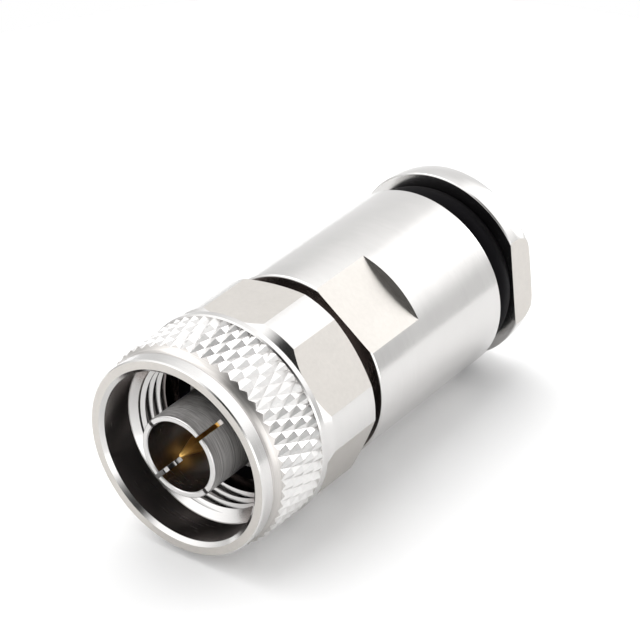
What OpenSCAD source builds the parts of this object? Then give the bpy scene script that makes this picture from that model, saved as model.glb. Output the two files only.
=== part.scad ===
// Coaxial cable plug with a threaded coupling nut and a clamped cable end.
// The connector axis runs along Y: the mating end faces -Y and the cable leaves towards +Y.
// The origin is the centre of the outer contact's front lip, the plane where the two connectors meet.
// Lengths along the axis are measured from that plane. Roll angles turn from straight up (+Z)
// towards +X.

/* [Mating contacts] */
// Outside diameter of the slotted outer contact
sleeve_d = 8.2; // [7.6:0.1:8.6]
// Bore of the outer contact
sleeve_bore_d = 7.0; // [6.6:0.1:7.2]
// Number of slots in the outer contact
slot_count = 4; // [3:1:6]
// Width of one slot
slot_w = 0.45; // [0.3:0.05:0.8]
// Length of one slot
slot_len = 3.1; // [2:0.1:5]
// Roll angle of the first slot
slot_roll = 38.5; // [0:0.5:90]
// Diameter of the centre pin
pin_d = 1.6; // [1.4:0.05:1.8]
// Diameter of the flat on the pin's tip
pin_tip_d = 0.4; // [0.2:0.05:0.8]
// Length of the cone on the pin's tip
pin_cone = 2.35; // [1:0.05:3.2]
// How far the pin's tip stands behind the outer contact's lip
pin_recess = 0.3; // [0.1:0.05:0.8]
// Diameter of the contact behind the pin
shaft_d = 3.04; // [2.6:0.02:3.4]

/* [Coupling nut] */
// How far the nut's front face stands in front of the outer contact's lip
nut_proud = 0.33; // [0.1:0.01:0.6]
// Diameter of the plain band at the nut's mouth
band_d = 19.4; // [19.2:0.1:19.8]
// Crest diameter of the knurl
knurl_d = 20.4; // [20.2:0.1:20.8]
// Depth of the knurl's grooves
knurl_depth = 0.3; // [0.2:0.05:0.4]
// Number of diamonds around the knurl
knurl_count = 54; // [40:2:64]
// Half the length of one diamond
knurl_pitch = 1.485; // [1.2:0.005:1.6]
// Diameter of the plain rim behind the knurl
rim_d = 20.5; // [20.2:0.1:20.8]
// Width across the nut's hexagon flats
hex_af = 19.0; // [18.6:0.1:19.2]
// Diameter that the hexagon's corners are turned to
hex_d = 20.2; // [19.8:0.1:20.4]
// Roll angle of one hexagon flat
hex_roll = 53; // [0:1:60]
// Length of the coupling nut
nut_len = 16.6; // [16.2:0.1:17]
// Minor diameter of the coupling thread
thread_minor_d = 14.84; // [14.7:0.01:15]
// Diameter of the plain bore in front of the thread
mouth_d = 16.9; // [16.6:0.1:17.2]

/* [Body] */
// Outside diameter of the body
body_d = 18.85; // [18.6:0.05:19.2]
// Where the body's large diameter starts
body_front = 17.72; // [17.4:0.01:18]
// Where the body ends
body_rear = 36.95; // [36.5:0.05:37.5]
// Width across the body's two wrench flats
body_af = 17.2; // [17:0.1:17.6]
// Where the body's wrench flats end
body_flat_end = 25.0; // [24:0.1:26]
// Roll angle of the body's wrench flats
body_roll = 36; // [0:1:180]
// Diameter of the neck that carries the coupling nut
neck_d = 14.68; // [14.6:0.01:14.72]

/* [Cable clamp] */
// Outside diameter of the clamp nut
clamp_d = 19.3; // [19:0.1:19.6]
// Where the clamp nut's flange starts
clamp_front = 40.27; // [40:0.01:40.5]
// Length of the clamp nut's flange
clamp_len = 3.0; // [2.6:0.1:3.4]
// Width across the clamp nut's two wrench flats
clamp_af = 17.2; // [17:0.1:17.6]
// Roll angle of the clamp nut's wrench flats
clamp_roll = 84; // [0:1:180]
// Diameter of the hole for the cable
cable_d = 10.8; // [10.4:0.1:11]
// Mean diameter of the clamp thread
clamp_thread_d = 15.4; // [15.2:0.1:15.6]
// Largest diameter of the rubber ring in front of the clamp nut
seal_d = 17.6; // [17.2:0.1:18.2]

/* [Hidden] */
$fn = 120;

eps = 0.01;      // overshoot of a cut
fit = 0.03;      // radial clearance between turned parts that stay together

// Coupling nut
nut_front = -nut_proud;
nut_rear = nut_front + nut_len;
front_break = 0.12;
band_end = 1.02;
step_h = 0.08;          // fine step behind the plain band
cove_r = 1.47;          // hollow run-out between the band and the knurl
knurl_root_r = knurl_d / 2 - knurl_depth;
knurl_core_r = knurl_root_r - 0.03;
cove_start_r = band_d / 2 - step_h;
cove_start = band_end + step_h;
cove_end_r = knurl_d / 2 + 0.2;     // the hollow is cut right through the knurl
cove_end_angle = acos(1 - (cove_end_r - cove_start_r) / cove_r);
knurl_first = 1.93;     // station of the first row of points, which the hollow cuts away
knurl_cut = 1.25;       // where the knurl starts, inside the hollow
knurl_end = 7.67;
rim_end = 8.42;
rim_lead = 0.15;        // chamfer on the rim's front edge
rim_break = 0.08;
hex_slope = 0.8;        // rise of the hexagon's front chamfer for each millimetre of length
hex_front_full = 9.62;  // where the front chamfer reaches the turned corners
hex_neck_r = hex_d / 2 - hex_slope * (hex_front_full - rim_end);
hex_rear_drop = 1.0;
hex_rear_slope = 0.6;
mouth_chamfer = 0.36;
mouth_end = 3.4;
thread_start = 4.35;
thread_end = 7.46;
relief_d = 16.0;
nut_bore_start = 10.2;
nut_bore_d = neck_d + 0.12;

// Retaining ring, in matching grooves of the neck and of the nut
ring_front = 12.1;
ring_w = 0.9;
ring_d = 15.6;
ring_bore_d = 13.6;
ring_gap = 1.4;
groove_play = 0.1;

// Outer contact and its seat
lip_r = 0.2;            // round outside the outer contact's lip
lip_lead = 0.1;         // chamfer inside it
root_fillet_r = 0.5;
flange_front = 8.9;
flange_d = 11.4;
body_face = 10.0;
shank_end = 14.0;
shank_d = 10.0;

// Insulators and centre contact
insulator_front = 8.0;
insulator_d = 12.4;
pin_shoulder = 5.3;
collar_front = 15.5;
collar_len = 1.0;
collar_d = 4.8;
barrel_d = 3.5;
barrel_end = 23.0;
wire_d = 2.74;
wire_hole_front = 17.5;
rear_insulator_end = 20.0;

// Clamp stack
bore_step = 25.2;
clamp_flange_len = 1.2;
gasket_front = bore_step + clamp_flange_len;
gasket_end = 29.6;
gasket_groove = 0.5;
washer_end = 30.3;
stack_d = 14.8;
dielectric_d = 7.5;
nose_d = 11.6;
shank_thread_end = 36.2;
relief_neck_d = 14.2;
seal_bore_d = relief_neck_d + 2 * fit;
flange_break = 0.15;
crown_start = clamp_front + 0.73;   // where the flange starts to fall off towards the rear
crown_r = 5.8;
corner_r = 0.6;         // round on the flange's rear edge

// Colours
nickel = [0.80, 0.79, 0.77];
gold = [0.83, 0.66, 0.32];
white_resin = [0.93, 0.92, 0.88];
black_rubber = [0.09, 0.09, 0.10];
brass = [0.78, 0.66, 0.40];

// Points of an arc, from angle a0 to a1
function arc(centre, r, a0, a1, n = 8) =
    [for (i = [0 : n]) let (a = a0 + (a1 - a0) * i / n) centre + r * [cos(a), sin(a)]];

// Turned solid about the connector axis from an outline of [radius, station] points
module turned(outline) rotate([-90, 0, 0]) rotate_extrude() polygon(outline);

// Cylinder along the connector axis between two stations
module bar(d, from, to) rotate([-90, 0, 0]) translate([0, 0, from]) cylinder(d = d, h = to - from);

// Copies children, which point along +X, to a roll angle about the connector axis
module at_roll(roll) rotate([-90, 0, 0]) rotate([0, 0, roll - 90]) children();

// Space outside two opposite flats between two stations
module outside_flats(across, roll, from, to, d)
    for (side = [0, 180])
        at_roll(roll + side) translate([across / 2, -d / 2, from]) cube([d, d, to - from]);

// Ring of raised pyramids: corners on a checkerboard stand at the crest or in the groove.
// It starts a row ahead of the first points and ends inside the rim.
function knurl_r(row, column) = (row + column) % 2 == 1 ? knurl_d / 2 : knurl_root_r;

module knurl_ring(inner_r) {
    columns = 2 * knurl_count;
    start = knurl_first - knurl_pitch;
    rows = ceil((knurl_end + 0.1 - start) / knurl_pitch);
    ring = function (r, row, column)
        let (a = 360 * column / columns) [r * cos(a), r * sin(a), start + knurl_pitch * row];
    outer = [for (row = [0 : rows], c = [0 : columns - 1]) ring(knurl_r(row, c), row, c)];
    inner = [for (row = [0, rows], c = [0 : columns - 1]) ring(inner_r, row, c)];
    inner_0 = len(outer);
    at = function (row, c) row * columns + c % columns;
    in = function (row, c) inner_0 + row * columns + c % columns;
    // Each square is split along the line that joins its two groove corners
    skin = [for (row = [0 : rows - 1], c = [0 : columns - 1])
        let (a = at(row, c), b = at(row, c + 1), d = at(row + 1, c + 1), e = at(row + 1, c))
        each (row + c) % 2 == 0 ? [[a, d, b], [a, e, d]] : [[a, e, b], [b, e, d]]];
    bore = [for (c = [0 : columns - 1]) each [[in(0, c), in(0, c + 1), in(1, c + 1)],
        [in(0, c), in(1, c + 1), in(1, c)]]];
    ends = [for (c = [0 : columns - 1]) each [[at(0, c), at(0, c + 1), in(0, c + 1)],
        [at(0, c), in(0, c + 1), in(0, c)],
        [at(rows, c), in(1, c + 1), at(rows, c + 1)],
        [at(rows, c), in(1, c), in(1, c + 1)]]];
    rotate([-90, 0, 0]) polyhedron(concat(outer, inner), concat(skin, bore, ends), convexity = 4);
}

// One turned piece: mouth band, knurl, rim, and a hexagon with turned corners
module coupling_nut() color(nickel) {
    difference() {
        union() {
            turned([[mouth_d / 2 - 1, nut_front], [band_d / 2 - front_break, nut_front],
                [band_d / 2, nut_front + front_break], [band_d / 2, knurl_cut + 0.1],
                [knurl_core_r, knurl_cut + 0.1], [knurl_core_r, knurl_end],
                [rim_d / 2 - rim_lead, knurl_end], [rim_d / 2, knurl_end + rim_lead],
                [rim_d / 2, rim_end - rim_break],
                [rim_d / 2 - rim_break, rim_end], [mouth_d / 2 - 1, rim_end]]);
            intersection() {
                turned([[0, rim_end - 1], [hex_neck_r, rim_end - 1], [hex_neck_r, rim_end],
                    [hex_d / 2, hex_front_full], [hex_d / 2, nut_rear - hex_rear_slope * hex_rear_drop],
                    [hex_d / 2 - hex_rear_drop, nut_rear], [0, nut_rear]]);
                at_roll(hex_roll) translate([0, 0, rim_end - 2]) rotate([0, 0, 30])
                    cylinder(d = hex_af / cos(30), h = nut_rear - rim_end + 4, $fn = 6);
            }
            intersection() {
                knurl_ring(knurl_root_r - 0.4);
                bar(rim_d + 2, knurl_cut, knurl_end + 0.1);
            }
        }
        turned(concat([[rim_d / 2 + 1, band_end], [cove_start_r, band_end]],
            arc([cove_start_r + cove_r, cove_start], cove_r, 180, 180 - cove_end_angle, 4),
            [[rim_d / 2 + 1, cove_start + cove_r * sin(cove_end_angle)]]));
        turned([[0, nut_front - eps], [mouth_d / 2 + mouth_chamfer + eps, nut_front - eps],
            [mouth_d / 2, nut_front + mouth_chamfer], [mouth_d / 2, mouth_end],
            [thread_minor_d / 2, thread_start], [thread_minor_d / 2, thread_end],
            [relief_d / 2, thread_end + 0.5], [relief_d / 2, nut_bore_start - 0.2],
            [nut_bore_d / 2, nut_bore_start], [nut_bore_d / 2, ring_front - groove_play],
            [ring_d / 2 + 0.2, ring_front - groove_play],
            [ring_d / 2 + 0.2, ring_front + ring_w + groove_play],
            [nut_bore_d / 2, ring_front + ring_w + groove_play], [nut_bore_d / 2, nut_rear + eps],
            [0, nut_rear + eps]]);
    }
}

// Split spring ring that keeps the coupling nut on the neck
module snap_ring() color(brass) difference() {
    bar(ring_d, ring_front, ring_front + ring_w);
    bar(ring_bore_d, ring_front - eps, ring_front + ring_w + eps);
    at_roll(180) translate([0, -ring_gap / 2, ring_front - 1]) cube([ring_d, ring_gap, ring_w + 2]);
}

// Slotted spring sleeve with a flange and a shank for the body
module outer_contact() color(nickel) difference() {
    turned(concat(
        [[sleeve_bore_d / 2, lip_lead], [sleeve_bore_d / 2 + lip_lead, 0]],
        arc([sleeve_d / 2 - lip_r, lip_r], lip_r, -90, 0, 3),
        arc([sleeve_d / 2 + root_fillet_r, flange_front - root_fillet_r], root_fillet_r, 180, 90, 4),
        [[flange_d / 2, flange_front], [flange_d / 2, body_face], [shank_d / 2 - fit, body_face],
            [shank_d / 2 - fit, shank_end], [sleeve_bore_d / 2, shank_end]]));
    for (i = [0 : slot_count - 1])
        at_roll(slot_roll + i * 360 / slot_count)
            translate([1, -slot_w / 2, -1]) cube([sleeve_d, slot_w, slot_len + 1]);
}

// Flat rubber ring that the mating connector's nose presses on
module mating_gasket() color(black_rubber)
    turned([[flange_d / 2 + fit, flange_front], [thread_minor_d / 2 - 0.35, flange_front],
        [thread_minor_d / 2 - 0.35, body_face], [flange_d / 2 + fit, body_face]]);

// Insulator that centres the contact in the sleeve
module front_insulator() color(white_resin)
    turned([[shaft_d / 2 + fit, insulator_front], [sleeve_bore_d / 2 - fit, insulator_front],
        [sleeve_bore_d / 2 - fit, shank_end], [insulator_d / 2 - fit, shank_end],
        [insulator_d / 2 - fit, collar_front], [shaft_d / 2 + fit, collar_front]]);

// Gold pin, shaft, collar and solder barrel in one piece
module centre_contact() color(gold) difference() {
    turned([[0, pin_recess], [pin_tip_d / 2, pin_recess], [pin_d / 2, pin_recess + pin_cone],
        [pin_d / 2, pin_shoulder - 0.2], [shaft_d / 2 - 0.2, pin_shoulder],
        [shaft_d / 2, pin_shoulder + 0.2], [shaft_d / 2, collar_front],
        [collar_d / 2, collar_front], [collar_d / 2, collar_front + collar_len],
        [barrel_d / 2, collar_front + collar_len], [barrel_d / 2, barrel_end], [0, barrel_end]]);
    bar(wire_d, wire_hole_front, barrel_end + eps);
    at_roll(0) translate([0, 0, barrel_end - 1.4]) rotate([0, 90, 0]) cylinder(d = 1.0, h = barrel_d);
}

// Insulator behind the collar
module rear_insulator() color(white_resin)
    turned([[collar_d / 2 + fit, collar_front], [insulator_d / 2 - fit, collar_front],
        [insulator_d / 2 - fit, rear_insulator_end], [barrel_d / 2 + fit, rear_insulator_end],
        [barrel_d / 2 + fit, collar_front + collar_len],
        [collar_d / 2 + fit, collar_front + collar_len]]);

// Body: neck with ring groove, large diameter with two wrench flats, stepped and threaded bore
module body() color(nickel) difference() {
    turned([[shank_d / 2, body_face], [neck_d / 2 - 0.2, body_face],
        [neck_d / 2, body_face + 0.2], [neck_d / 2, ring_front - groove_play / 2],
        [ring_bore_d / 2 - fit, ring_front - groove_play / 2],
        [ring_bore_d / 2 - fit, ring_front + ring_w + groove_play / 2],
        [neck_d / 2, ring_front + ring_w + groove_play / 2], [neck_d / 2, body_front],
        [body_d / 2 - 0.2, body_front], [body_d / 2, body_front + 0.2],
        [body_d / 2, body_rear - 0.15], [body_d / 2 - 0.15, body_rear],
        [clamp_thread_d / 2 + 0.35, body_rear], [clamp_thread_d / 2, body_rear - 0.35],
        [clamp_thread_d / 2, bore_step], [insulator_d / 2, bore_step],
        [insulator_d / 2, shank_end], [shank_d / 2, shank_end]]);
    outside_flats(body_af, body_roll, body_front - 1, body_flat_end, body_d);
}

// Bush that holds the cable's braid: tapered nose under the braid, flange against the body's step
module braid_clamp() color(brass)
    turned([[dielectric_d / 2, rear_insulator_end], [nose_d / 2 - 0.8, rear_insulator_end],
        [nose_d / 2, bore_step], [stack_d / 2, bore_step], [stack_d / 2, gasket_front],
        [(stack_d + cable_d) / 4, gasket_front + gasket_groove], [cable_d / 2, gasket_front],
        [cable_d / 2, bore_step], [dielectric_d / 2, bore_step]]);

// Rubber gasket squeezed round the cable, with a vee in its front face
module cable_gasket() color(black_rubber)
    turned([[cable_d / 2, gasket_front], [(stack_d + cable_d) / 4, gasket_front + gasket_groove],
        [stack_d / 2, gasket_front], [stack_d / 2, gasket_end], [cable_d / 2, gasket_end]]);

// Plain washer that lets the clamp nut turn without twisting the gasket
module clamp_washer() color(brass)
    turned([[cable_d / 2, gasket_end], [stack_d / 2, gasket_end],
        [stack_d / 2, washer_end], [cable_d / 2, washer_end]]);

// Fat rubber ring between the body and the clamp nut
module clamp_seal() color(black_rubber) {
    half = (clamp_front - body_rear) / 2;
    bulge = 0.6;
    bulge_r = (half * half + bulge * bulge) / (2 * bulge);
    sweep = asin(half / bulge_r);
    turned(concat([[seal_bore_d / 2, body_rear]],
        arc([seal_d / 2 - bulge_r, body_rear + half], bulge_r, -sweep, sweep, 8),
        [[seal_bore_d / 2, clamp_front]]));
}

// Clamp nut: threaded shank, relief, and a crowned flange with two wrench flats
module clamp_nut() color(nickel) {
    rear = clamp_front + clamp_len;
    crown = asin((rear - corner_r - crown_start) / (crown_r - corner_r));
    crown_centre = [clamp_d / 2 - crown_r, crown_start];
    corner_centre = crown_centre + (crown_r - corner_r) * [cos(crown), sin(crown)];
    difference() {
        turned(concat(
            [[cable_d / 2, washer_end], [clamp_thread_d / 2 - 0.4, washer_end],
                [clamp_thread_d / 2 - 0.05, washer_end + 0.35],
                [clamp_thread_d / 2 - 0.05, shank_thread_end],
                [relief_neck_d / 2, shank_thread_end + 0.3], [relief_neck_d / 2, clamp_front],
                [clamp_d / 2 - flange_break, clamp_front], [clamp_d / 2, clamp_front + flange_break]],
            arc(crown_centre, crown_r, 0, crown, 4),
            [for (i = [1 : 4]) let (a = crown + (90 - crown) * i / 4)
                corner_centre + corner_r * [cos(a), sin(a)]],
            [[cable_d / 2 + 0.5, rear], [cable_d / 2, rear - 0.5]]));
        outside_flats(clamp_af, clamp_roll, clamp_front - 0.02, rear + 1, clamp_d);
    }
}

coupling_nut();
snap_ring();
outer_contact();
mating_gasket();
front_insulator();
centre_contact();
rear_insulator();
body();
braid_clamp();
cable_gasket();
clamp_washer();
clamp_seal();
clamp_nut();
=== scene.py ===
"""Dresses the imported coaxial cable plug: finer turned pieces, real threads and knurl, finishes,
a pale floor, soft studio light and a camera."""

import math

import bmesh
import bpy
from mathutils import Matrix, Vector


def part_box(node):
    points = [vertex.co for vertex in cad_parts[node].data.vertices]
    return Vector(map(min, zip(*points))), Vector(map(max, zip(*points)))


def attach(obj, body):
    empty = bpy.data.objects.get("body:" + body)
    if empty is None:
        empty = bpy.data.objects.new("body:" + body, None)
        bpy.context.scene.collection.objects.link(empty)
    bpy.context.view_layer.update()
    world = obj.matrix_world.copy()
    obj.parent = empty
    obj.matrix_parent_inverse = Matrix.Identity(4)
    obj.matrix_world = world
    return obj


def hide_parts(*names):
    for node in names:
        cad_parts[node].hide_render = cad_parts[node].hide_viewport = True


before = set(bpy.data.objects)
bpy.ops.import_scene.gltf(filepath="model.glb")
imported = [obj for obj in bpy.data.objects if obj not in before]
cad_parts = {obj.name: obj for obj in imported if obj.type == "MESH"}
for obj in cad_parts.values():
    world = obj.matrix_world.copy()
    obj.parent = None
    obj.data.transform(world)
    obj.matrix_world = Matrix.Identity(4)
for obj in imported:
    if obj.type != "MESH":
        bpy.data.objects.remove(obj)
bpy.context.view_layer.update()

bl_info = {
    "name": "Coaxial Plug Dressing",
    "version": (1, 0, 0),
    "blender": (4, 5, 0),
    "location": "View3D > Sidebar > Coaxial Plug",
    "description": "Models and finishes the pieces of a clamp type coaxial plug",
    "category": "Object",
}

MM = 0.001
HAIR = 0.01 * MM  # margin that catches a face which lies at a given place
SAME = 1e-8  # points that are nearer than this, in metres, are made one
TURN = 2 * math.pi


def size(name, default_mm, description):
    """A length property, stated in millimetres and kept in metres."""
    return bpy.props.FloatProperty(
        name=name, default=default_mm * MM, description=description, unit="LENGTH",
        subtype="DISTANCE", precision=5)


def count(name, default, description, lowest=1):
    """A whole number property."""
    return bpy.props.IntProperty(
        name=name, default=default, description=description, min=lowest)


def turn(name, default_degrees, description):
    """An angle property, stated in degrees and kept in radians."""
    return bpy.props.FloatProperty(
        name=name, default=math.radians(default_degrees), description=description,
        subtype="ANGLE")


def share(name, default, description):
    """A number property that is mostly between 0 and 1."""
    return bpy.props.FloatProperty(
        name=name, default=default, description=description, min=0, soft_max=1)


def colour(name, default, description):
    """A colour property."""
    return bpy.props.FloatVectorProperty(
        name=name, default=default, description=description, subtype="COLOR", size=3,
        min=0, max=1)


def reach(node):
    """Largest radius of a CAD node about the connector axis, in millimetres."""
    low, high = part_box(node)
    return max(high.z, -low.z) / MM


def span(node):
    """First and last station of a CAD node along the connector axis, in millimetres."""
    low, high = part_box(node)
    return low.y / MM, high.y / MM


# ---------------------------------------------------------------- sizes

class NutSizes(bpy.types.PropertyGroup):
    """Coupling nut"""
    front: size("Front", span("coupling_nut")[0], "Station of the nut's front face")
    rear: size("Rear", span("coupling_nut")[1], "Station of the nut's rear face")
    band_r: size("Band radius", 9.7, "Radius of the plain band at the mouth")
    band_end: size("Band end", 1.02, "Station where the plain band ends")
    front_break: size("Front edge", 0.12, "Width of the break on the front edge")
    step: size("Step", 0.08, "Depth of the fine step behind the band")
    step_width: size("Step width", 0.12, "Width of the fine step behind the band")
    cove_r: size("Cove radius", 1.47, "Radius of the hollow in front of the knurl")
    knurl_r: size("Knurl radius", 10.2, "Radius of the knurl's points")
    knurl_depth: size("Knurl depth", 0.3, "Depth of the knurl's grooves")
    knurl_first: size("Knurl first row", 1.93, "Station of the first row of points")
    knurl_rear: size("Knurl rear", 7.67, "Station where the knurl's grooves end")
    knurl_pitch: size("Knurl pitch", 1.485, "Half the length of one diamond")
    knurl_count: count("Diamonds", 54, "Diamonds around the knurl", 8)
    rim_r: size("Rim radius", 10.25, "Radius of the rim behind the knurl")
    rim_end: size("Rim end", 8.42, "Station where the rim ends")
    rim_lead: size("Rim chamfer", 0.15, "Width of the chamfer on the rim's front edge")
    hex_across: size("Across flats", 19.0, "Width across the hexagon's flats")
    hex_r: size("Hexagon radius", 10.1, "Radius that the hexagon's corners are turned to")
    hex_full: size("Chamfer end", 9.62, "Station where the front chamfer reaches the corners")
    hex_slope: share("Front slope", 0.8, "Rise of the hexagon's front chamfer")
    hex_drop: size("Rear drop", 1.0, "Radius lost on the hexagon's rear chamfer")
    hex_rear_slope: share("Rear slope", 0.6, "Length of the rear chamfer for each unit of drop")
    hex_roll: turn("Hexagon roll", 53, "Roll angle of one flat")
    mouth_r: size("Mouth radius", 8.45, "Radius of the plain bore in the mouth")
    mouth_chamfer: size("Mouth chamfer", 0.36, "Width of the chamfer in the mouth")
    mouth_end: size("Mouth end", 3.4, "Station where the plain bore ends")
    thread_r: size("Thread radius", 7.42, "Radius of the thread's crests")
    thread_root_r: size("Root radius", 7.80, "Radius of the thread's roots")
    thread_flat: size("Root flat", 0.23, "Half the width of the flat in the thread's roots")
    lead_split: size(
        "Lead groove", 0.33, "Place of the fine line in the lead-in cone, from its front")
    thread_front: size("Thread front", 4.35, "Station where the crests start")
    thread_rear: size("Thread rear", 7.46, "Station where the crests end")
    thread_start: size("Thread start", 2.49, "Station of the thread's root at a roll of 90 degrees")
    thread_pitch: size("Thread pitch", 1.058, "Pitch of the coupling thread")
    relief_r: size("Relief radius", 8.0, "Radius of the groove behind the thread")
    relief_end: size("Relief end", 10.2, "Station where the groove behind the thread ends")
    bore_r: size("Bore radius", 7.4, "Radius of the bore that runs on the neck")
    ring_front: size("Ring groove", 12.0, "Station of the snap ring's groove")
    ring_width: size("Ring groove width", 1.1, "Width of the snap ring's groove")
    ring_r: size("Ring groove radius", 8.0, "Radius of the snap ring's groove")


class SleeveSizes(bpy.types.PropertyGroup):
    """Outer contact"""
    wall_r: size("Wall radius", 4.1, "Radius of the sleeve's outside")
    bore_r: size("Bore radius", 3.5, "Radius of the bore")
    lip_round: size("Lip round", 0.2, "Radius of the round outside the lip")
    lip_lead: size("Lip chamfer", 0.1, "Width of the chamfer inside the lip")
    fillet: size("Root fillet", 0.5, "Fillet between the wall and the flange")
    flange_front: size("Flange front", 8.9, "Station of the flange's front face")
    flange_rear: size("Flange rear", 10.0, "Station of the flange's rear face")
    flange_r: size("Flange radius", reach("outer_contact"), "Radius of the flange")
    shank_r: size("Shank radius", 4.97, "Radius of the shank in the body")
    shank_end: size("Shank end", span("outer_contact")[1], "Station where the shank ends")
    slots: count("Slots", 4, "Number of slots", 2)
    slot_width: size("Slot width", 0.45, "Width of one slot")
    slot_length: size("Slot length", 3.1, "Length of one slot")
    slot_roll: turn("Slot roll", 38.5, "Roll angle of the first slot")


class PinSizes(bpy.types.PropertyGroup):
    """Centre contact"""
    tip: size("Tip", span("centre_contact")[0], "Station of the pin's tip")
    tip_r: size("Tip radius", 0.2, "Radius of the flat on the tip")
    pin_r: size("Pin radius", 0.8, "Radius of the pin")
    cone: size("Cone", 2.35, "Length of the cone")
    shoulder: size("Shoulder", 5.3, "Station where the pin meets the shaft")
    shaft_r: size("Shaft radius", 1.52, "Radius of the shaft")
    collar_front: size("Collar front", 15.5, "Station of the collar's front face")
    collar_width: size("Collar width", 1.0, "Width of the collar")
    collar_r: size("Collar radius", reach("centre_contact"), "Radius of the collar")
    barrel_r: size("Barrel radius", 1.75, "Radius of the solder barrel")
    barrel_end: size("Barrel end", span("centre_contact")[1], "Station where the barrel ends")
    wire_r: size("Wire hole radius", 1.37, "Radius of the hole for the cable's wire")
    wire_front: size("Wire hole bottom", 17.5, "Station of the wire hole's bottom")
    sight_r: size("Solder hole radius", 0.5, "Radius of the solder hole")
    sight_back: size("Solder hole place", 1.4, "Distance of the solder hole from the barrel's end")


class BodySizes(bpy.types.PropertyGroup):
    """Body"""
    face: size("Face", span("body")[0], "Station of the neck's front face")
    neck_r: size("Neck radius", 7.34, "Radius of the neck under the coupling nut")
    groove_r: size("Groove radius", 6.77, "Radius of the snap ring's groove")
    groove_front: size("Groove front", 12.05, "Station where the snap ring's groove starts")
    groove_end: size("Groove end", 13.05, "Station where the snap ring's groove ends")
    front: size("Front", 17.72, "Station where the large diameter starts")
    rear: size("Rear", span("body")[1], "Station of the body's rear face")
    outer_r: size("Outer radius", reach("body"), "Radius of the body")
    edge: size("Edge", 0.2, "Radius of the rounds on the body's ends")
    across: size("Across flats", 17.2, "Width across the wrench flats")
    flat_end: size("Flat end", 25.0, "Station where the wrench flats end")
    flat_roll: turn("Flat roll", 36, "Roll angle of the first wrench flat")
    front_bore_r: size(
        "Front bore radius", 5.0, "Radius of the bore round the outer contact's shank")
    front_bore_end: size("Front bore end", 14.0, "Station where the front bore ends")
    bore_r: size("Bore radius", 6.2, "Radius of the bore round the insulators")
    bore_end: size("Bore end", 25.2, "Station where the bore steps out to the clamp thread")
    thread_r: size("Thread bore radius", 7.7, "Radius of the threaded bore")


class ClampSizes(bpy.types.PropertyGroup):
    """Clamp nut and its rubber ring"""
    shank_front: size("Shank front", span("clamp_nut")[0], "Station of the shank's front face")
    shank_end: size("Shank end", 36.2, "Station where the threaded shank ends")
    shank_r: size("Shank radius", 7.65, "Radius of the thread's crests")
    root_r: size("Root radius", 7.12, "Radius of the thread's roots")
    pitch: size("Pitch", 1.0, "Pitch of the clamp thread")
    root_flat: size("Root flat", 0.06, "Half the width of the flat in the thread's roots")
    neck_r: size("Neck radius", 7.1, "Radius of the neck inside the rubber ring")
    front: size("Flange front", 40.27, "Station of the flange's front face")
    rear: size("Flange rear", span("clamp_nut")[1], "Station of the flange's rear face")
    flange_r: size("Flange radius", reach("clamp_nut"), "Radius of the flange")
    front_break: size("Front edge", 0.15, "Width of the break on the flange's front edge")
    crown_r: size("Crown radius", 5.8, "Radius of the flange's crown, along the axis")
    crown_start: size("Crown start", 41.0, "Station where the crown starts to fall off")
    corner_r: size("Corner radius", 0.6, "Radius of the round on the flange's rear edge")
    across: size("Across flats", 17.2, "Width across the wrench flats")
    flat_roll: turn("Flat roll", 84, "Roll angle of the first wrench flat")
    cable_r: size("Cable hole radius", 5.4, "Radius of the hole for the cable")
    cable_chamfer: size("Cable hole chamfer", 0.5, "Width of the chamfer on the cable hole")
    ring_bore_r: size("Ring bore", 7.13, "Radius of the rubber ring's bore")
    ring_r: size("Ring radius", reach("clamp_seal"), "Largest radius of the rubber ring")
    ring_bulge: size("Ring bulge", 0.6, "How far the rubber ring bulges between its faces")


class Finishes(bpy.types.PropertyGroup):
    """Colours and finishes"""
    nickel: colour("Nickel", (0.625, 0.615, 0.605), "Bright plating on the turned pieces")
    milled: colour("Milled nickel", (0.57, 0.545, 0.515), "The same plating on milled flats")
    brushed: colour("Brushed nickel", (0.52, 0.50, 0.48), "The same plating on the nut's cove")
    knurled: colour("Knurled nickel", (0.70, 0.69, 0.68), "The same plating on the knurl")
    # Painted shade: this dark nickel stands in for the shade in bores, in the gaps between pieces
    # and in the step behind the nut's band.
    bore: colour("Dull nickel", (0.30, 0.27, 0.26), "Painted shade in bores, in gaps and on hidden faces")
    contact: colour("Contact plating", (0.58, 0.57, 0.565), "Plating on the outer contact")
    gold: colour("Gold", (0.90, 0.56, 0.17), "Plating on the centre contact")
    bronze: colour("Bronze", (0.72, 0.52, 0.27), "Bare turned bronze")
    rubber: colour("Rubber", (0.0032, 0.0028, 0.0036), "Black moulded rubber")
    resin: colour("Resin", (0.86, 0.85, 0.82), "White insulating resin")
    nickel_rough: share("Nickel roughness", 0.17, "Roughness of the turned pieces")
    milled_rough: share("Milled roughness", 0.33, "Roughness of the milled flats")


class StudioSizes(bpy.types.PropertyGroup):
    """Camera, floor and light"""
    azimuth: turn("Azimuth", 36.525, "Camera's turn about the vertical")
    elevation: turn("Elevation", 32.537, "Camera's height angle")
    distance: size("Distance", 289.55, "Camera's distance from the point it looks at")
    aim: bpy.props.FloatVectorProperty(
        name="Aim", default=(-1.13 * MM, 22.48 * MM, 2.38 * MM), subtype="XYZ",
        description="Point that the camera looks at", unit="LENGTH", precision=5)
    lens: bpy.props.FloatProperty(
        name="Lens", default=176.1, description="Focal length in millimetres", min=10)
    floor_r: size("Floor radius", 88, "Radius of the floor")
    floor_tone: share("Floor tone", 0.97, "Paleness of the floor")
    walls: share("Walls", 0.66, "Brightness of the room's walls")
    lamp: share("Lamp", 1.75, "Brightness of the large soft lights")
    lamp_core: share("Lamp core", 1.3, "Added brightness in the middle of the left light")
    rear_core: share("Rear core", 5.0, "Added brightness low behind the plug")
    fill: share("Fill", 1.5, "Added brightness low on the right, which lifts the shadow")
    dark_side: share("Dark side", 0.93, "How far the room behind the camera is darkened")


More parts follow.
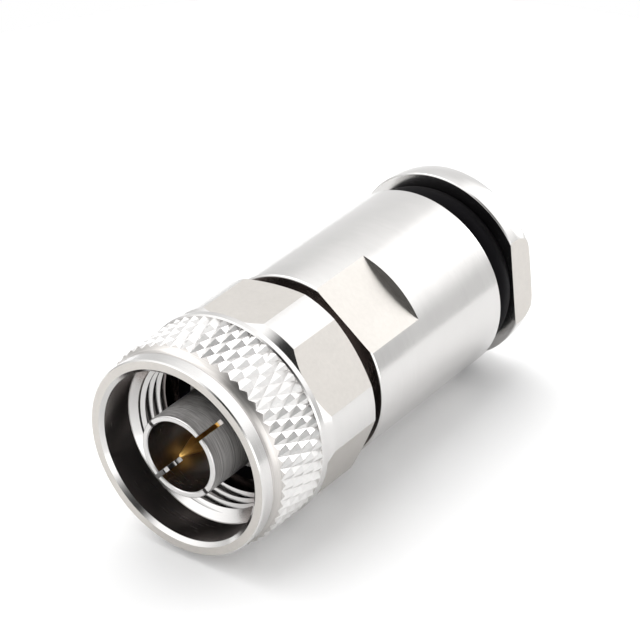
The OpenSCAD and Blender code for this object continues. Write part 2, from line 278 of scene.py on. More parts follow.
# ---------------------------------------------------------------- modelling

def rolled(angle):
    """Direction at a roll angle about the connector axis, from straight up towards +X."""
    return Vector((math.sin(angle), 0, math.cos(angle)))


def arc(centre, radius, start, end, steps=12):
    """Points of an arc in (radius, station), angles in degrees."""
    points = []
    for i in range(steps + 1):
        a = math.radians(start + (end - start) * i / steps)
        points.append((centre[0] + radius * math.cos(a), centre[1] + radius * math.sin(a)))
    return points


def lathe(name, outline, steps=256, closed=False):
    """Piece turned about the connector axis from an outline of (radius, station) points."""
    shape = bmesh.new()
    points = [shape.verts.new((r, y, 0)) for r, y in outline]
    for a, b in zip(points, points[1:] + points[:1] if closed else points[1:]):
        shape.edges.new((a, b))
    bmesh.ops.spin(
        shape, geom=shape.verts[:] + shape.edges[:], cent=(0, 0, 0), axis=(0, 1, 0),
        angle=TURN, steps=steps, use_merge=True)
    return finished(name, shape)


def finished(name, shape):
    """Object from a bmesh, with its doubles merged and its faces pointing outwards."""
    bmesh.ops.remove_doubles(shape, verts=shape.verts, dist=SAME)
    bmesh.ops.recalc_face_normals(shape, faces=shape.faces)
    mesh = bpy.data.meshes.new(name)
    shape.to_mesh(mesh)
    shape.free()
    piece = bpy.data.objects.new(name, mesh)
    bpy.context.scene.collection.objects.link(piece)
    return piece


def cut(piece, tool):
    """Cuts a tool out of a piece, and throws the tool away."""
    step = piece.modifiers.new("cut", "BOOLEAN")
    step.operation = "DIFFERENCE"
    step.solver = "EXACT"
    step.object = tool
    view = bpy.context.evaluated_depsgraph_get()
    result = bpy.data.meshes.new_from_object(piece.evaluated_get(view))
    piece.modifiers.clear()
    old = piece.data
    piece.data = result
    result.name = piece.name
    bpy.data.meshes.remove(old)
    bpy.data.objects.remove(tool)


def block(roll, inner, width, front, rear, depth):
    """Block that stands off the connector axis at a roll angle."""
    shape = bmesh.new()
    bmesh.ops.create_cube(shape, size=1)
    bmesh.ops.scale(shape, verts=shape.verts, vec=(width, rear - front, depth))
    bmesh.ops.translate(
        shape, verts=shape.verts, vec=(0, (front + rear) / 2, inner + depth / 2))
    bmesh.ops.rotate(
        shape, verts=shape.verts, cent=(0, 0, 0), matrix=Matrix.Rotation(roll, 3, "Y"))
    return finished("tool", shape)


def mill_flats(piece, across, roll, flats, front, rear):
    """Mills flats at even roll angles between two stations."""
    wide = across * 2
    for i in range(flats):
        cut(piece, block(roll + TURN * i / flats, across / 2, wide, front, rear, wide))


def thread_tool(inner_r, outer_r, pitch, front, rear, root, narrow, steps=96):
    """Right-handed helical tool of vee section, which starts at a roll of 90 degrees.
    The vee's narrow end is at the radius given by root, and narrow is half its width."""
    flank = math.radians(30)
    depth = abs(outer_r - inner_r)
    broad = narrow + depth * math.tan(flank)
    half = {outer_r: narrow if root == outer_r else broad,
            inner_r: narrow if root == inner_r else broad}
    turns = math.ceil((rear - front) / pitch)
    shape = bmesh.new()
    section = [(inner_r, -half[inner_r]), (outer_r, -half[outer_r]),
               (outer_r, half[outer_r]), (inner_r, half[inner_r])]
    points = [shape.verts.new((r, front + y, 0)) for r, y in section]
    edges = [shape.edges.new((a, b)) for a, b in zip(points, points[1:] + points[:1])]
    bmesh.ops.spin(
        shape, geom=points + edges, cent=(0, 0, 0), axis=(0, 1, 0),
        dvec=(0, pitch / steps, 0), angle=TURN * turns, steps=steps * turns)
    ends = [e for e in shape.edges if e.is_boundary]
    bmesh.ops.holes_fill(shape, edges=ends, sides=4)
    return finished("tool", shape)


def knurl_tool(nut):
    """Ring whose bore is a field of pyramids, which leaves the knurl when it's cut away."""
    columns = 2 * nut.knurl_count
    front = nut.knurl_first - nut.knurl_pitch
    rows = math.ceil((nut.knurl_rear - front) / nut.knurl_pitch)
    root = nut.knurl_r - nut.knurl_depth
    clearance = 1.1
    shape = bmesh.new()
    line = [shape.verts.new((root, front + nut.knurl_pitch * i, 0)) for i in range(rows + 1)]
    for a, b in zip(line, line[1:]):
        shape.edges.new((a, b))
    bmesh.ops.spin(
        shape, geom=shape.verts[:] + shape.edges[:], cent=(0, 0, 0), axis=(0, 1, 0),
        angle=TURN, steps=columns, use_merge=True)
    raised = set()
    for v in shape.verts:
        row = round((v.co.y - front) / nut.knurl_pitch)
        column = round(math.atan2(v.co.z, v.co.x) / TURN * columns)
        if (row + column) % 2:
            raised.add(v)
            v.co.x *= nut.knurl_r / root
            v.co.z *= nut.knurl_r / root
    for face in shape.faces[:]:
        low = [v for v in face.verts if v not in raised]
        bmesh.utils.face_split(face, low[0], low[1])
    bmesh.ops.bisect_plane(
        shape, geom=shape.verts[:] + shape.edges[:] + shape.faces[:], dist=SAME,
        plane_co=(0, nut.knurl_rear, 0), plane_no=(0, 1, 0), clear_outer=True)
    outer = []
    for station in (front, nut.knurl_rear):
        rim = [e for e in shape.edges if e.is_boundary
               and all(abs(v.co.y - station) < nut.knurl_pitch / 4 for v in e.verts)]
        grown = bmesh.ops.extrude_edge_only(shape, edges=rim)["geom"]
        for v in grown:
            if isinstance(v, bmesh.types.BMVert):
                flat = Vector((v.co.x, 0, v.co.z)).normalized() * nut.rim_r * clearance
                v.co = flat + Vector((0, v.co.y, 0))
        outer += [e for e in grown if isinstance(e, bmesh.types.BMEdge)]
    bmesh.ops.bridge_loops(shape, edges=[e for e in outer if e.is_boundary])
    return finished("tool", shape)


def shade(piece, sharp_degrees=12):
    """Smooth shading with crisp edges where faces meet at more than the given angle. Cracks
    and slivers that cutting leaves are closed first."""
    crack = 2e-7
    sliver = 1e-7
    shape = bmesh.new()
    shape.from_mesh(piece.data)
    bmesh.ops.remove_doubles(shape, verts=shape.verts, dist=crack)
    bmesh.ops.dissolve_degenerate(shape, edges=shape.edges, dist=sliver)
    for face in shape.faces:
        face.smooth = True
    limit = math.radians(sharp_degrees)
    for edge in shape.edges:
        edge.smooth = edge.is_manifold and edge.calc_face_angle(0) < limit
    shape.to_mesh(piece.data)
    shape.free()


def on_flat(across, roll, flats):
    """Test for faces that lie on milled flats."""
    normals = [rolled(roll + TURN * i / flats) for i in range(flats)]
    square_on = 0.9995

    def test(face):
        for normal in normals:
            if face.normal.dot(normal) > square_on:
                return abs(face.center.dot(normal) - across / 2) < 2 * HAIR
        return False
    return test


def radius_of(face):
    """Distance of a face's middle from the connector axis."""
    return math.hypot(face.center.x, face.center.z)


def lean_of(face):
    """How far a face leans round the connector axis, which is 0 on a turned surface."""
    x, y, z = face.center
    return abs(face.normal.x * z - face.normal.z * x) / max(radius_of(face), MM)


def dress(piece, body, node, materials, tests=()):
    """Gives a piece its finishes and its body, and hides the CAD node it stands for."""
    for material in materials:
        piece.data.materials.append(material)
    for index, test in enumerate(tests, 1):
        for face in piece.data.polygons:
            if test(face):
                face.material_index = index
    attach(piece, body)
    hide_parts(node)


# ---------------------------------------------------------------- finishes

class Socket:
    """A node's output that adds Math nodes when it's used in an expression."""

    def __init__(self, graph, output):
        self.graph = graph
        self.output = output

    def math(self, operation, *others):
        return self.graph.node("ShaderNodeMath", {"operation": operation}, [self, *others])

    def __add__(self, other):
        return self.math("ADD", other)

    __radd__ = __add__

    def __mul__(self, other):
        return self.math("MULTIPLY", other)

    __rmul__ = __mul__

    def __sub__(self, other):
        return self.math("SUBTRACT", other)

    def __rsub__(self, other):
        return (self * -1) + other

    def __pow__(self, other):
        return self.math("POWER", other)


class Graph:
    """The node tree of one material or of the surroundings."""

    def __init__(self, tree):
        self.tree = tree

    def node(self, kind, settings=None, inputs=None, output=0):
        """Any node: its type, then its settings, then the values or links of its sockets."""
        node = self.tree.nodes.new(kind)
        for key, value in (settings or {}).items():
            setattr(node, key, value)
        pairs = inputs.items() if isinstance(inputs, dict) else enumerate(inputs or ())
        for key, value in pairs:
            if isinstance(value, Socket):
                self.tree.links.new(value.output, node.inputs[key])
            else:
                node.inputs[key].default_value = value
        return Socket(self, node.outputs[output])

    def place(self, coordinates="Object"):
        """Place on the surface, or the direction of a ray for Generated in the surroundings."""
        return self.node("ShaderNodeTexCoord", output=coordinates)

    def axes(self, place):
        """The three parts of a place."""
        return [self.node("ShaderNodeSeparateXYZ", inputs=[place], output=axis)
                for axis in "XYZ"]

    def smooth(self, value, start, end):
        """Soft step: 0 at start and 1 at end, which may be the lower."""
        return self.node(
            "ShaderNodeMapRange", {"interpolation_type": "SMOOTHSTEP"},
            {"Value": value, "From Min": start, "From Max": end})

    def grain(self, place, scale, detail=3, low=0.0, high=1.0):
        """Noise that runs from low to high."""
        noise = self.node("ShaderNodeTexNoise", inputs={
            "Vector": place, "Scale": scale, "Detail": detail, "Roughness": 0.6})
        return (noise - 0.5) * (2 * (high - low)) + (low + high) / 2

    def tint(self, factor, dark, light):
        """Colour between a dark one and a light one."""
        return self.node("ShaderNodeMix", {"data_type": "RGBA", "clamp_factor": True},
                         {"Factor": factor, 6: (*dark, 1), 7: (*light, 1)}, output=2)

    def bump(self, height, distance_mm):
        """Relief of the given height in millimetres, as a surface direction."""
        return self.node("ShaderNodeBump", inputs={
            "Distance": distance_mm * MM, "Height": height})

    def turned_place(self, around):
        """Place in millimetres on a turned surface, stretched round the connector axis as
        tool marks are. A larger value of around gives shorter marks."""
        x, y, z = self.axes(self.place())
        radius = (x * x + z * z) ** 0.5
        return self.node("ShaderNodeCombineXYZ", inputs=[
            radius * (1 / MM), y * (1 / MM), x.math("ARCTAN2", z).math("SINE") * around])


class Finish(Graph):
    """A material with a Principled shader. Values that are even all over are given here."""

    def __init__(self, name, **even):
        self.material = bpy.data.materials.new(name)
        self.material.use_nodes = True
        super().__init__(self.material.node_tree)
        self.shader = self.tree.nodes["Principled BSDF"]
        for key, value in even.items():
            self.shader.inputs[key.replace("_", " ")].default_value = value

    def plug_in(self, **varying):
        """Links what changes over the surface, and gives the finished material."""
        for key, value in varying.items():
            self.tree.links.new(value.output, self.shader.inputs[key.replace("_", " ")])
        return self.material


def scaled(tone, factor):
    """A darker or lighter version of a colour."""
    return tuple(min(1.0, c * factor) for c in tone)


def turned_metal(name, tone, roughness, lines=6.0, relief=0.0012, streak=0.05, cloud_share=0.5,
                 around=0.6):
    """Turned and plated metal: fine marks round the axis and a slight change of tone. Relief
    is the marks' height in millimetres, streak the change of tone, and cloud_share the part of
    it that doesn't follow the marks."""
    f = Finish(name, Metallic=1.0)
    marks = f.grain(f.turned_place(around), scale=lines, detail=4)
    fine = f.grain(f.turned_place(around=2.5), scale=lines * 3.1, detail=2)
    cloud = f.grain(f.place(), scale=260, detail=3)
    return f.plug_in(
        Base_Color=f.tint(cloud * cloud_share + marks * (1 - cloud_share),
                          scaled(tone, 1 - streak), scaled(tone, 1 + streak)),
        Roughness=marks * 0.05 + cloud * 0.04 + (roughness - 0.045),
        Normal=f.bump(marks + fine * 0.5, relief))


def milled_metal(name, tone, roughness):
    """Milled flats under the plating: a fine, even mottle."""
    f = Finish(name, Metallic=1.0)
    mottle = f.grain(f.place(), scale=2600, detail=2)
    cloud = f.grain(f.place(), scale=420, detail=3)
    return f.plug_in(
        Base_Color=f.tint(mottle * 0.6 + cloud * 0.4, scaled(tone, 0.94), scaled(tone, 1.05)),
        Roughness=mottle * 0.06 + (roughness - 0.03),
        Normal=f.bump(mottle, distance_mm=0.0025))


def plated_gold(name, tone):
    """Gold plating with a blotchy sheen and faint marks round the pin."""
    f = Finish(name, Metallic=1.0)
    marks = f.grain(f.turned_place(around=0.8), scale=9, detail=3)
    blotch = f.grain(f.place(), scale=7000, detail=3)
    return f.plug_in(
        Base_Color=f.tint(blotch * 0.6 + marks * 0.4, scaled(tone, 0.78), scaled(tone, 1.12)),
        Roughness=blotch * 0.16 + 0.26,
        Normal=f.bump(marks + blotch, distance_mm=0.006))


def rubber(name, tone):
    """Moulded rubber: a satin skin with a very fine grain."""
    f = Finish(name, IOR=1.5, Specular_IOR_Level=0.03)
    skin = f.grain(f.place(), scale=3200, detail=2)
    cloud = f.grain(f.place(), scale=300, detail=3)
    return f.plug_in(
        Base_Color=f.tint(cloud, scaled(tone, 0.8), scaled(tone, 1.3)),
        Roughness=skin * 0.06 + cloud * 0.08 + 0.42,
        Normal=f.bump(skin, distance_mm=0.004))


def resin(name, tone):
    """Turned white resin: waxy, with faint rings from the tool."""
    f = Finish(name, Subsurface_Weight=0.15, Subsurface_Scale=0.001)
    rings = f.grain(f.turned_place(around=0.3), scale=5.0, detail=2)
    return f.plug_in(
        Base_Color=f.tint(rings, scaled(tone, 0.95), tone),
        Roughness=rings * 0.08 + 0.42,
        Normal=f.bump(rings, distance_mm=0.004))


def finish_of(name):
    """The named finish, made once."""
    if name in bpy.data.materials:
        return bpy.data.materials[name]
    f = bpy.context.scene.plug_finishes
    makers = {
        "nickel_turned": lambda: turned_metal(name, f.nickel, f.nickel_rough),
        "nickel_milled": lambda: milled_metal(name, f.milled, f.milled_rough),
        "nickel_brushed": lambda: turned_metal(
            name, f.brushed, roughness=0.3, lines=9, relief=0.004, streak=0.28,
            cloud_share=0.25, around=0.3),
        "nickel_knurled": lambda: milled_metal(name, f.knurled, roughness=0.34),
        # Painted shade: the dark tone darkens bores, gaps and the step behind the band.
        "nickel_painted_shade": lambda: turned_metal(name, f.bore, roughness=0.25, streak=0.12),
        "contact_brushed": lambda: turned_metal(
            name, f.contact, roughness=0.3, lines=9, relief=0.008, streak=0.6,
            cloud_share=0.1, around=0.3),
        "gold_plated": lambda: plated_gold(name, f.gold),
        "bronze_turned": lambda: turned_metal(name, f.bronze, roughness=0.28, relief=0.003),
        "rubber_black": lambda: rubber(name, f.rubber),
        "resin_white": lambda: resin(name, f.resin),
    }
    return makers[name]()


# ---------------------------------------------------------------- pieces

class PLUG_OT_coupling_nut(bpy.types.Operator):
    """Coupling nut: band, cove, knurl, rim, hexagon, stepped bore and coupling thread"""
    bl_idname = "plug.coupling_nut"
    bl_label = "Coupling Nut"

    MOST_LEAN = 0.05  # of a turned face; the faces of the knurl's pyramids lean more

    def execute(self, context):
        nut = context.scene.plug_nut
        cove_start = nut.band_end + nut.step_width
        cove_base = nut.band_r - nut.step
        sweep = math.degrees(math.acos(1 - (nut.rim_r - cove_base) / nut.cove_r))
        hex_neck = nut.hex_r - nut.hex_slope * (nut.hex_full - nut.rim_end)
        rim_edge = 0.08 * MM
        thread_over = 0.1 * MM
        piece = lathe("coupling_nut_fine", [
            (0, nut.front), (nut.band_r - nut.front_break, nut.front),
            (nut.band_r, nut.front + nut.front_break), (nut.band_r, nut.band_end),
            (cove_base, nut.band_end),
            *arc((cove_base + nut.cove_r, cove_start), nut.cove_r, 180, 180 - sweep),
            (nut.rim_r, nut.rim_end - rim_edge), (nut.rim_r - rim_edge, nut.rim_end),
            (hex_neck, nut.rim_end), (nut.hex_r, nut.hex_full),
            (nut.hex_r, nut.rear - nut.hex_drop * nut.hex_rear_slope),
            (nut.hex_r - nut.hex_drop, nut.rear), (0, nut.rear)])
        mill_flats(piece, nut.hex_across, nut.hex_roll, 6, nut.rim_end + rim_edge,
                   nut.rear + MM)
        cut(piece, self.bore(nut))
        cut(piece, thread_tool(
            nut.thread_r - thread_over, nut.thread_root_r, nut.thread_pitch, nut.thread_start,
            nut.thread_rear + nut.thread_pitch, nut.thread_root_r, nut.thread_flat))
        cut(piece, self.rim_chamfer(nut))
        cut(piece, knurl_tool(nut))
        shade(piece)
        # The dark nickel paints shade on the step behind the band, in the plain bores and on the
        # rear face.
        dress(piece, "coupling_nut", "coupling_nut",
              [finish_of("nickel_turned"), finish_of("nickel_milled"),
               finish_of("nickel_brushed"), finish_of("nickel_milled"),
               finish_of("nickel_painted_shade"), finish_of("nickel_knurled")],
              [on_flat(nut.hex_across, nut.hex_roll, 6), self.on_cove(nut),
               lambda face: face.center.y < nut.front + HAIR, self.gets_painted_shade(nut),
               self.on_knurl(nut)])
        return {"FINISHED"}

    def on_cove(self, nut):
        """Test for faces of the hollow between the band and the knurl's pyramids."""
        front = nut.band_end + nut.step_width
        rear = nut.knurl_first + nut.knurl_pitch / 2

        def test(face):
            return (front < face.center.y < rear and self.is_outside(nut, face)
                    and lean_of(face) < self.MOST_LEAN)
        return test

    def on_knurl(self, nut):
        """Test for the knurl's pyramids, which face to one side or the other."""
        root = nut.knurl_r - nut.knurl_depth

        def test(face):
            return (radius_of(face) > root - 10 * HAIR and face.center.y < nut.knurl_rear
                    and lean_of(face) > self.MOST_LEAN)
        return test

    def gets_painted_shade(self, nut):
        """Test for the faces that get painted shade: the step behind the band, the plain bores and
        the rear face.
        """
        def test(face):
            y = face.center.y
            if self.is_outside(nut, face):
                return nut.band_end < y < nut.band_end + nut.step_width or y > nut.rear - HAIR
            plain = nut.front + nut.mouth_chamfer < y < nut.mouth_end
            return plain or y > nut.thread_rear + HAIR
        return test

    def is_outside(self, nut, face):
        """True for a face that stands outside the bore and the mouth's chamfer."""
        return radius_of(face) > nut.mouth_r + 0.5 * MM

    def rim_chamfer(self, nut):
        """Ring that is turned off the rim's front edge."""
        over = 0.5 * MM
        front = nut.knurl_rear - HAIR
        return lathe("tool", [
            (nut.rim_r - nut.rim_lead, front), (nut.rim_r + over, front),
            (nut.rim_r + over, nut.knurl_rear + nut.rim_lead + over)], closed=True)

    def bore(self, nut):
        """Everything that is turned out of the nut's inside."""
        over = 0.2 * MM
        ramp = 0.5 * MM
        line = 0.06 * MM
        ring_rear = nut.ring_front + nut.ring_width
        split_r = nut.mouth_r + (nut.thread_r - nut.mouth_r) * nut.lead_split
        split_y = nut.mouth_end + (nut.thread_front - nut.mouth_end) * nut.lead_split
        return lathe("tool", [
            (0, nut.front - over), (nut.mouth_r + nut.mouth_chamfer + over, nut.front - over),
            (nut.mouth_r, nut.front + nut.mouth_chamfer), (nut.mouth_r, nut.mouth_end),
            (split_r, split_y), (split_r, split_y + line), (split_r - line, split_y + line),
            (nut.thread_r, nut.thread_front), (nut.thread_r, nut.thread_rear),
            (nut.relief_r, nut.thread_rear + ramp), (nut.relief_r, nut.relief_end - over),
            (nut.bore_r, nut.relief_end), (nut.bore_r, nut.ring_front),
            (nut.ring_r, nut.ring_front), (nut.ring_r, ring_rear), (nut.bore_r, ring_rear),
            (nut.bore_r, nut.rear + over), (0, nut.rear + over)])


class PLUG_OT_outer_contact(bpy.types.Operator):
    """Outer contact: slotted spring sleeve with a lip, a flange and a shank"""
    bl_idname = "plug.outer_contact"
    bl_label = "Outer Contact"

    def execute(self, context):
        s = context.scene.plug_sleeve
        forward = -0.8
        piece = lathe("outer_contact_fine", [
            (s.bore_r, s.lip_lead), (s.bore_r + s.lip_lead, 0),
            *arc((s.wall_r - s.lip_round, s.lip_round), s.lip_round, -90, 0),
            *arc((s.wall_r + s.fillet, s.flange_front - s.fillet), s.fillet, 180, 90, 6),
            (s.flange_r, s.flange_front), (s.flange_r, s.flange_rear),
            (s.shank_r, s.flange_rear), (s.shank_r, s.shank_end),
            (s.bore_r, s.shank_end)], closed=True)
        for i in range(s.slots):
            cut(piece, block(s.slot_roll + TURN * i / s.slots, MM, s.slot_width, -MM,
                             s.slot_length, s.wall_r))
        shade(piece, 24)
        # The dark nickel paints the shade inside the sleeve's bore.
        dress(piece, "plug_body", "outer_contact",
              [finish_of("contact_brushed"), finish_of("nickel_turned"),
               finish_of("nickel_painted_shade")],
              [lambda face: face.center.y < s.lip_round and face.normal.y < forward,
               lambda face: radius_of(face) < s.bore_r + HAIR])
        return {"FINISHED"}


class PLUG_OT_centre_contact(bpy.types.Operator):
    """Centre contact: gold pin with a cone tip, shaft, collar and solder barrel"""
    bl_idname = "plug.centre_contact"
    bl_label = "Centre Contact"

    def execute(self, context):
        p = context.scene.plug_pin
        edge = 0.2 * MM
        tip_round = 0.12 * MM
        collar_rear = p.collar_front + p.collar_width
        piece = lathe("centre_contact_fine", [
            (0, p.tip), (p.tip_r * 0.6, p.tip + tip_round * 0.1),
            (p.tip_r, p.tip + tip_round), (p.pin_r, p.tip + p.cone),
            (p.pin_r, p.shoulder - edge), (p.shaft_r - edge, p.shoulder),
            (p.shaft_r, p.shoulder + edge), (p.shaft_r, p.collar_front),
            (p.collar_r, p.collar_front), (p.collar_r, collar_rear),
            (p.barrel_r, collar_rear), (p.barrel_r, p.barrel_end),
            (p.wire_r, p.barrel_end), (p.wire_r, p.wire_front), (0, p.wire_front)], steps=128)
        cut(piece, self.sight_hole(p))
        shade(piece, 24)
        dress(piece, "plug_body", "centre_contact", [finish_of("gold_plated")])
        return {"FINISHED"}

    def sight_hole(self, p):
        """Drill for the solder hole, from the barrel's bore straight up."""
        shape = bmesh.new()
        bmesh.ops.create_cone(
            shape, cap_ends=True, segments=32, radius1=p.sight_r, radius2=p.sight_r,
            depth=2 * p.barrel_r)
        bmesh.ops.translate(
            shape, verts=shape.verts, vec=(0, p.barrel_end - p.sight_back, p.barrel_r))
        return finished("tool", shape)


class PLUG_OT_body(bpy.types.Operator):
    """Body: neck, plain barrel with two wrench flats, and stepped bore"""
    bl_idname = "plug.body"
    bl_label = "Body"

    def execute(self, context):
        b = context.scene.plug_body
        piece = lathe("body_fine", [
            (b.front_bore_r, b.face), (b.neck_r - b.edge, b.face),
            (b.neck_r, b.face + b.edge), (b.neck_r, b.groove_front),
            (b.groove_r, b.groove_front), (b.groove_r, b.groove_end),
            (b.neck_r, b.groove_end), (b.neck_r, b.front),
            *arc((b.outer_r - b.edge, b.front + b.edge), b.edge, -90, 0),
            *arc((b.outer_r - b.edge, b.rear - b.edge), b.edge, 0, 90),
            (b.thread_r + 2 * b.edge, b.rear),
            (b.thread_r, b.rear - 2 * b.edge), (b.thread_r, b.bore_end),
            (b.bore_r, b.bore_end), (b.bore_r, b.front_bore_end),
            (b.front_bore_r, b.front_bore_end)], closed=True)
        mill_flats(piece, b.across, b.flat_roll, 2, b.front - MM, b.flat_end)
        shade(piece)
        # The dark nickel paints the shade on the neck and on the shoulder at its rear, under the
        # coupling nut and in the gap behind it.
        dress(piece, "plug_body", "body",
              [finish_of("nickel_turned"), finish_of("nickel_milled"),
               finish_of("nickel_painted_shade")],
              [on_flat(b.across, b.flat_roll, 2),
               lambda face: face.center.y < b.front + HAIR])
        return {"FINISHED"}


class PLUG_OT_clamp_nut(bpy.types.Operator):
    """Clamp nut: threaded shank, neck, and a flange with two wrench flats"""
    bl_idname = "plug.clamp_nut"
    bl_label = "Clamp Nut"

    def execute(self, context):
        c = context.scene.plug_clamp
        lead = 0.4 * MM
        thread_over = 0.2 * MM
        crown = math.asin((c.rear - c.corner_r - c.crown_start) / (c.crown_r - c.corner_r))
        crown_centre = (c.flange_r - c.crown_r, c.crown_start)
        corner_centre = (crown_centre[0] + (c.crown_r - c.corner_r) * math.cos(crown),
                         crown_centre[1] + (c.crown_r - c.corner_r) * math.sin(crown))
        piece = lathe("clamp_nut_fine", [
            (c.cable_r, c.shank_front), (c.shank_r - lead, c.shank_front),
            (c.shank_r, c.shank_front + lead), (c.shank_r, c.shank_end),
            (c.neck_r, c.shank_end + lead), (c.neck_r, c.front),
            *arc((c.flange_r - c.front_break, c.front + c.front_break), c.front_break, -90, 0),
            *arc(crown_centre, c.crown_r, 0, math.degrees(crown)),
            *arc(corner_centre, c.corner_r, math.degrees(crown), 90),
            (c.cable_r + c.cable_chamfer, c.rear), (c.cable_r, c.rear - c.cable_chamfer)],
            closed=True)
        mill_flats(piece, c.across, c.flat_roll, 2, c.front - 2 * HAIR, c.rear + MM)
        cut(piece, thread_tool(
            c.root_r, c.shank_r + thread_over, c.pitch, c.shank_front - c.pitch / 2,
            c.shank_end + lead, c.root_r, c.root_flat))
        shade(piece)
        dress(piece, "clamp_nut", "clamp_nut",
              [finish_of("nickel_turned"), finish_of("nickel_milled")],
              [on_flat(c.across, c.flat_roll, 2)])
        return {"FINISHED"}


class PLUG_OT_rubber_ring(bpy.types.Operator):
    """Fat rubber ring that bulges between the body and the clamp nut"""
    bl_idname = "plug.rubber_ring"
    bl_label = "Rubber Ring"

    def execute(self, context):
        c = context.scene.plug_clamp
        front, rear = (station * MM for station in span("clamp_seal"))
        half = (rear - front) / 2
        radius = (half ** 2 + c.ring_bulge ** 2) / (2 * c.ring_bulge)
        sweep = math.degrees(math.asin(half / radius))
        piece = lathe("clamp_seal_fine", [
            (c.ring_bore_r, front),
            *arc((c.ring_r - radius, front + half), radius, -sweep, sweep, 24),
            (c.ring_bore_r, rear)], closed=True)
        shade(piece)
        dress(piece, "clamp_nut", "clamp_seal", [finish_of("rubber_black")])
        return {"FINISHED"}


class PLUG_OT_inner_pieces(bpy.types.Operator):
    """Finishes for the inner pieces, which keep their modelled shape"""
    bl_idname = "plug.inner_pieces"
    bl_label = "Inner Pieces"

    FINISH = {
        "snap_ring": "bronze_turned",
        "mating_gasket": "rubber_black",
        "front_insulator": "resin_white",
        "rear_insulator": "resin_white",
        "braid_clamp": "bronze_turned",
        "cable_gasket": "rubber_black",
        "clamp_washer": "bronze_turned",
    }

    def execute(self, context):
        for node, finish in self.FINISH.items():
            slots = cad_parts[node].data.materials
            slots.clear()
            slots.append(finish_of(finish))
        return {"FINISHED"}


# ---------------------------------------------------------------- studio

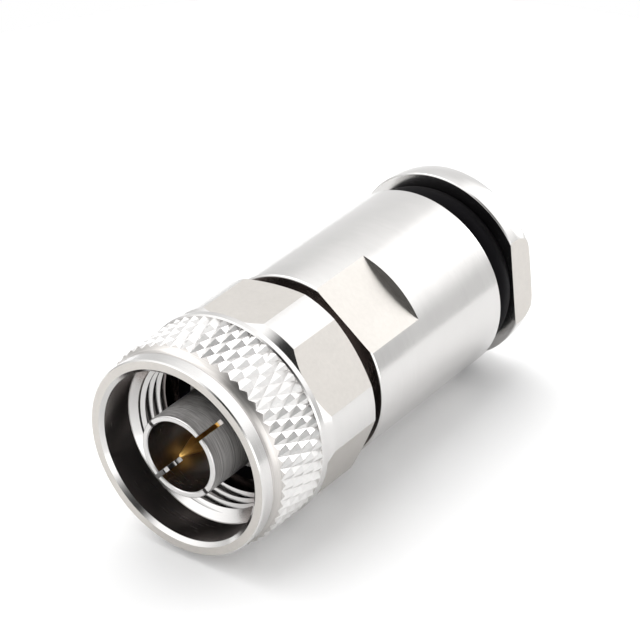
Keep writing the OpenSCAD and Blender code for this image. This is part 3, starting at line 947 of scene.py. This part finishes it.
class PLUG_OT_studio(bpy.types.Operator):
    """Camera, pale floor and soft light"""
    bl_idname = "plug.studio"
    bl_label = "Studio"

    LEFT_CORE = (-0.62, 0.14, 0.77)
    REAR_CORE = (0.2, 0.95, 0.25)
    DARK_SIDE = (0.45, -0.60, 0.66)

    def execute(self, context):
        s = context.scene.plug_studio
        self.camera(context.scene, s)
        self.floor(s)
        self.light(context.scene, s)
        view = context.scene.view_settings
        view.view_transform = "Standard"
        view.look = "None"
        return {"FINISHED"}

    def camera(self, scene, s):
        back = Vector((math.sin(s.azimuth) * math.cos(s.elevation),
                       -math.cos(s.azimuth) * math.cos(s.elevation), math.sin(s.elevation)))
        data = bpy.data.cameras.new("camera")
        data.lens = s.lens
        data.sensor_width = 36
        data.clip_start = 0.01
        data.clip_end = 20
        camera = bpy.data.objects.new("camera", data)
        scene.collection.objects.link(camera)
        camera.location = Vector(s.aim) + back * s.distance
        camera.rotation_euler = back.to_track_quat("Z", "Y").to_euler()
        scene.camera = camera

    def floor(self, s):
        """Floor under the nut's rim and the clamp nut's flange, which the plug lies on."""
        nut, clamp = bpy.context.scene.plug_nut, bpy.context.scene.plug_clamp
        front = Vector((0, nut.rim_end, -nut.rim_r))
        rear = Vector((0, clamp.crown_start, -clamp.flange_r))
        lean = math.atan2(rear.z - front.z, rear.y - front.y)
        shape = bmesh.new()
        bmesh.ops.create_circle(shape, cap_ends=True, segments=96, radius=s.floor_r)
        bmesh.ops.rotate(shape, verts=shape.verts, cent=(0, 0, 0),
                         matrix=Matrix.Rotation(lean, 3, "X"))
        bmesh.ops.translate(shape, verts=shape.verts, vec=(front + rear) / 2)
        floor = finished("floor", shape)
        f = Finish("floor_white", Base_Color=(s.floor_tone,) * 3 + (1,))
        floor.data.materials.append(
            f.plug_in(Roughness=f.grain(f.place(), scale=40, detail=2, low=0.65, high=0.75)))

    def light(self, scene, s):
        """Pale room with a wide soft light on the left and another above the rear, each with a
        brighter core, a low fill on the right, and a dark side behind the camera. All of it is
        worked out from the direction (x, y, z) in which a ray leaves the plug."""
        world = bpy.data.worlds.new("studio")
        scene.world = world
        world.use_nodes = True
        g = Graph(world.node_tree)
        way = g.place("Generated")
        x, y, z = g.axes(way)

        def lobe(direction, inner, outer):
            """1 within an angle of a direction, and 0 past a wider one, in degrees."""
            toward = g.node("ShaderNodeVectorMath", {"operation": "DOT_PRODUCT"},
                            {0: way, 1: Vector(direction).normalized()}, output="Value")
            return g.smooth(toward, math.cos(math.radians(outer)),
                            math.cos(math.radians(inner)))

        left_gain = 0.12
        rear_gain = 0.28
        ceiling_loss = 0.36
        left = g.smooth(x, 0.17, 0.03)
        rear = g.smooth(y, 0.55, 0.72)
        high = g.smooth(z, 0.25, 0.85)
        walls = left * left_gain + rear * rear_gain + s.walls
        walls = walls - high * (1 - left) * ceiling_loss

        rise_start = 0.45
        rise_slope = 1.7
        edge_rise = (y - rise_start).math("MAXIMUM", 0) * rise_slope
        left_lamp = left * g.smooth(z - edge_rise, -0.1, 0.65)
        rear_lamp = g.smooth(y, 0.48, 0.6) * g.smooth(x, -0.35, -0.1) * g.smooth(z, 0.08, 0.5)
        lamps = left_lamp.math("MAXIMUM", rear_lamp)
        glow = walls + (s.lamp - walls) * lamps

        beside = g.smooth(y, 0.45, 0.15) * g.smooth(x, 0.2, 0.55) * g.smooth(z, 0.7, 0.4)
        glow = glow + lobe(self.LEFT_CORE, inner=8, outer=28) * s.lamp_core
        glow = glow + lobe(self.REAR_CORE, inner=5, outer=20) * s.rear_core
        glow = glow + beside * s.fill
        glow = glow * (1 - lobe(self.DARK_SIDE, inner=12, outer=38) * s.dark_side)

        direct = g.node("ShaderNodeLightPath", output="Is Camera Ray")
        shown = direct + glow * (1 - direct)
        g.tree.links.new(shown.output, g.tree.nodes["Background"].inputs["Strength"])
        g.tree.nodes["Background"].inputs["Color"].default_value = (1, 1, 1, 1)


# ---------------------------------------------------------------- panel

STEPS = (
    PLUG_OT_coupling_nut, PLUG_OT_outer_contact, PLUG_OT_centre_contact, PLUG_OT_body,
    PLUG_OT_clamp_nut, PLUG_OT_rubber_ring, PLUG_OT_inner_pieces, PLUG_OT_studio)
GROUPS = {
    "plug_nut": NutSizes, "plug_sleeve": SleeveSizes, "plug_pin": PinSizes,
    "plug_body": BodySizes, "plug_clamp": ClampSizes, "plug_finishes": Finishes,
    "plug_studio": StudioSizes}


class PLUG_PT_panel(bpy.types.Panel):
    """Lists the pieces of the plug"""
    bl_idname = "PLUG_PT_panel"
    bl_label = "Coaxial Plug"
    bl_space_type = "VIEW_3D"
    bl_region_type = "UI"
    bl_category = "Coaxial Plug"

    def draw(self, context):
        for step in STEPS:
            self.layout.operator(step.bl_idname)
        for group in GROUPS:
            settings = getattr(context.scene, group)
            box = self.layout.box()
            for key in settings.__annotations__:
                box.prop(settings, key)


def register():
    """Adds the operators, the panel and the settings."""
    for kind in (*GROUPS.values(), *STEPS, PLUG_PT_panel):
        bpy.utils.register_class(kind)
    for name, kind in GROUPS.items():
        setattr(bpy.types.Scene, name, bpy.props.PointerProperty(type=kind))


def unregister():
    """Takes them all away again."""
    for name in GROUPS:
        delattr(bpy.types.Scene, name)
    for kind in reversed((*GROUPS.values(), *STEPS, PLUG_PT_panel)):
        bpy.utils.unregister_class(kind)


def plain(box):
    """A box as lists of numbers."""
    return [[float(value) for value in corner] for corner in box]


def main():
    """Makes every piece and the studio."""
    register()
    for step in STEPS:
        group, name = step.bl_idname.split(".")
        getattr(getattr(bpy.ops, group), name)()


if __name__ == "__main__":
    main()
